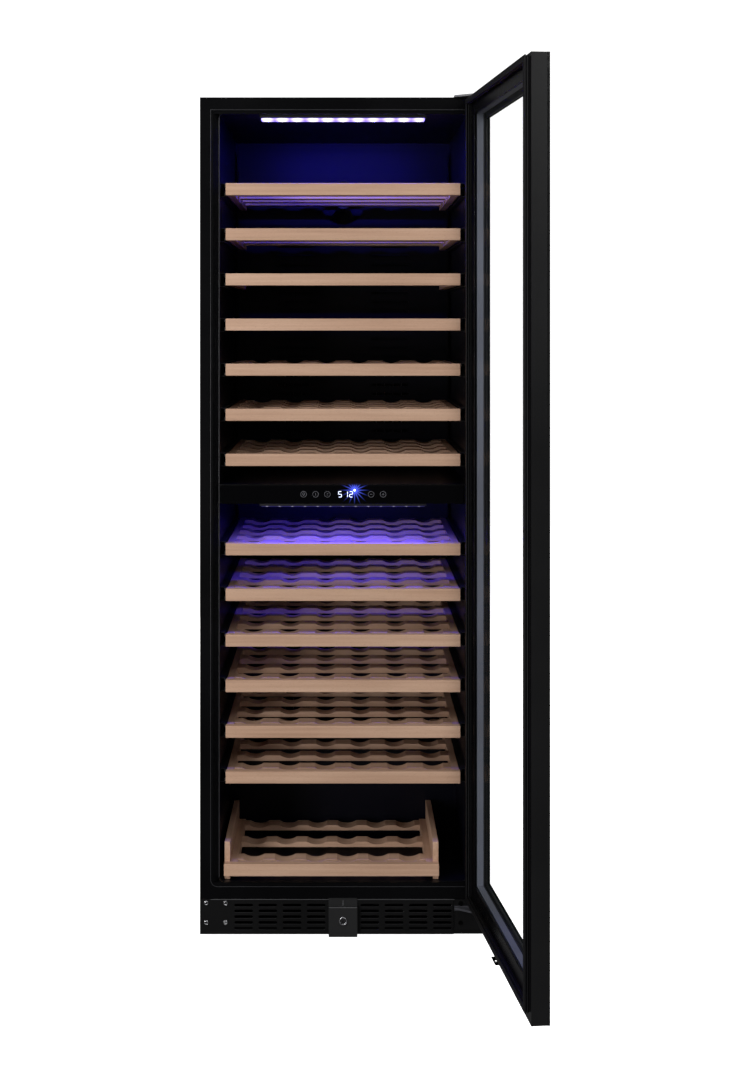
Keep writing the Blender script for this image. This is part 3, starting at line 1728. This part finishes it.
@dataclass
class Machinery:
    """Compressor, condenser, fans, evaporators and pipes.

    Attributes:
        pin_depth: Foot of the inlet's pins, in front of its mouth.
        pin_l: Length of a pin.
        pin_w: Half the width of a pin.
        pin_t: Half the thickness of a pin.
        pin_places: Places of the pins from the inlet's middle.
    """

    pin_depth: float = 20 * MM
    pin_l: float = 16.2 * MM
    pin_w: float = 2.1 * MM
    pin_t: float = 1.1 * MM
    pin_places: tuple[tuple[float, float], ...] = ((-7 * MM, -2 * MM), (0.0, 2 * MM), (7 * MM, -2 * MM))

    def build(self, paints: Palette) -> None:
        """Builds the machinery.

        Args:
            paints: The finishes.
        """
        refit("cabinet", [
            ("compressor", "compressor_shell", 1.2 * MM, paints.enamel, "comp_paint"),
            ("compressor_mounts", "rubber_mounts", 1.5 * MM, paints.mount, "comp_rubber"),
            ("condenser_shroud", "fan_shroud", 0.8 * MM, paints.moulded, "dark_plastic"),
            ("fan_motors", "motor_cans", 0.8 * MM, paints.moulded, "dark_plastic"),
        ])
        for node in ("fan_rotor_upper", "fan_rotor_lower", "condenser_fan_rotor"):
            refit(node, [(node, node + "_blades", 0.35 * MM, paints.moulded, "dark_plastic")])
        coat(paints.runner, "evaporators")
        coat(paints.fins, "condenser")
        coat(paints.copper, "refrigerant_pipes")
        self.pins(paints)

    def pins(self, paints: Palette) -> None:
        """Builds the three brass pins in the mains inlet.

        Args:
            paints: The finishes.
        """
        low, high = corners("power_inlet")
        x, z = (low.x + high.x) / 2, (low.z + high.z) / 2
        y = high.y - self.pin_depth
        pins = [
            Bench.bar("pin", (x + dx - self.pin_w, y, z + dz - self.pin_t),
                      (x + dx + self.pin_w, y + self.pin_l, z + dz + self.pin_t), 0.4 * MM)
            for dx, dz in self.pin_places
        ]
        Place("cabinet", "copper").put(Bench.join("inlet_pins", *pins), paints.brass)


# ---------------------------------------------------------------- the studio


@dataclass
class Studio:
    """Floor, lights and camera.

    Attributes:
        eye: The camera's place.
        lens: Its focal length in millimetres.
        shift: Its shift across and up.
        room: Strength of the white backdrop, as the surfaces see it and as the camera does.
    """

    eye: Vec = (0.0, -3.821, 1.2705)
    lens: float = 56.5
    shift: tuple[float, float] = (0.0302, -0.1952)
    room: tuple[float, float] = (0.12, 1.25)

    def camera(self) -> None:
        """Adds the camera."""
        data = bpy.data.cameras.new("studio_camera")
        data.lens = self.lens
        data.shift_x, data.shift_y = self.shift
        camera = bpy.data.objects.new("studio_camera", data)
        camera.location = self.eye
        camera.rotation_euler = (math.pi / 2, 0, 0)
        bpy.context.scene.collection.objects.link(camera)
        bpy.context.scene.camera = camera

    @staticmethod
    def lamp(name: str, place: Vec, aim: Vec, size: tuple[float, float], power: float,
             colour: Vec = (1, 1, 1)) -> None:
        """Adds a rectangular light.

        Args:
            name: Its name.
            place: Where it stands.
            aim: What it points at.
            size: Its width and height.
            power: Its power in watts.
            colour: Its colour.
        """
        data = bpy.data.lights.new(name, "AREA")
        data.shape = "RECTANGLE"
        data.size, data.size_y = size
        data.energy = power
        data.color = colour
        light = bpy.data.objects.new(name, data)
        light.location = place
        light.rotation_euler = (Vector(aim) - Vector(place)).to_track_quat("-Z", "Y").to_euler()
        bpy.context.scene.collection.objects.link(light)

    def zone_lights(self) -> None:
        """Adds the blue light that falls from each light bar."""
        for node, power in (("led_bar_upper", 7.0), ("led_bar_lower", 3.0)):
            low, high = corners(node)
            middle = (low + high) / 2
            below = (middle.x, middle.y, low.z - 2 * MM)
            self.lamp("glow_" + node, below, (middle.x, middle.y + 0.12, low.z - 0.3),
                      (high.x - low.x, high.y - low.y), power, (0.03, 0.025, 1.0))

    def surroundings(self) -> None:
        """Sets the white backdrop, which the camera sees brighter than the surfaces do."""
        world = bpy.data.worlds.new("white_room")
        world.use_nodes = True
        nodes, links = world.node_tree.nodes, world.node_tree.links
        back = nodes["Background"]
        path = nodes.new("ShaderNodeLightPath")
        level = nodes.new("ShaderNodeMapRange")
        level.inputs["To Min"].default_value, level.inputs["To Max"].default_value = self.room
        links.new(path.outputs["Is Camera Ray"], level.inputs["Value"])
        back.inputs["Color"].default_value = (1, 1, 1, 1)
        links.new(level.outputs["Result"], back.inputs["Strength"])
        bpy.context.scene.world = world
        bpy.context.scene.view_settings.view_transform = "Standard"

    def floor(self) -> None:
        """Adds the pale floor."""
        Bench.take()
        bpy.ops.mesh.primitive_plane_add(size=14, location=(0, 0, -0.5 * MM))
        plane = bpy.context.object
        plane.name = "floor"
        g = Graph("pale_floor")
        cloud = g.noise(g.place(), 1.5, 3.0)
        g.set(Base_Color=g.mix(cloud, (0.93, 0.93, 0.93), (0.96, 0.96, 0.96)), Roughness=0.9,
              Emission_Color=(1, 1, 1), Emission_Strength=1.2, Specular_IOR_Level=0.0)
        plane.data.materials.append(g.material)
        plane.visible_glossy = plane.visible_diffuse = False

    def build(self) -> None:
        """Sets up floor, lights and camera."""
        self.camera()
        self.surroundings()
        self.floor()
        self.lamp("key_left", (-2.6, -3.6, 2.9), (0, -0.3, 1.0), (1.6, 1.6), 67)
        self.lamp("key_right", (2.4, -4.2, 2.7), (0, -0.3, 1.0), (1.6, 1.6), 58)
        self.lamp("top_soft", (0, -1.6, 4.0), (0, -0.4, 0.8), (2.4, 1.6), 35)
        self.lamp("fill_low", (-2.3, -4.0, 0.7), (0, -0.3, 0.6), (1.1, 1.2), 64)
        self.lamp("back_soft", (-1.7, 3.2, 0.75), (0, 0, 0.9), (2.0, 1.5), 70)
        self.zone_lights()


def main() -> None:
    """Builds the wine cooler and its studio."""
    logging.basicConfig(level=logging.INFO, format="%(name)s: %(message)s")
    Studio().build()
    paints = Palette()
    Cabinet().build(paints)
    ControlPanel().build(paints)
    LightBar("led_bar_upper", "upper").build(paints)
    LightBar("led_bar_lower", "lower", 13, drop=0.0, dim=True).build(paints)
    Shelf().build(paints, 13)
    BottomShelf().build(paints)
    Hardware().build(paints)
    Door().build(paints)
    Machinery().build(paints)


if __name__ == "__main__":
    main()
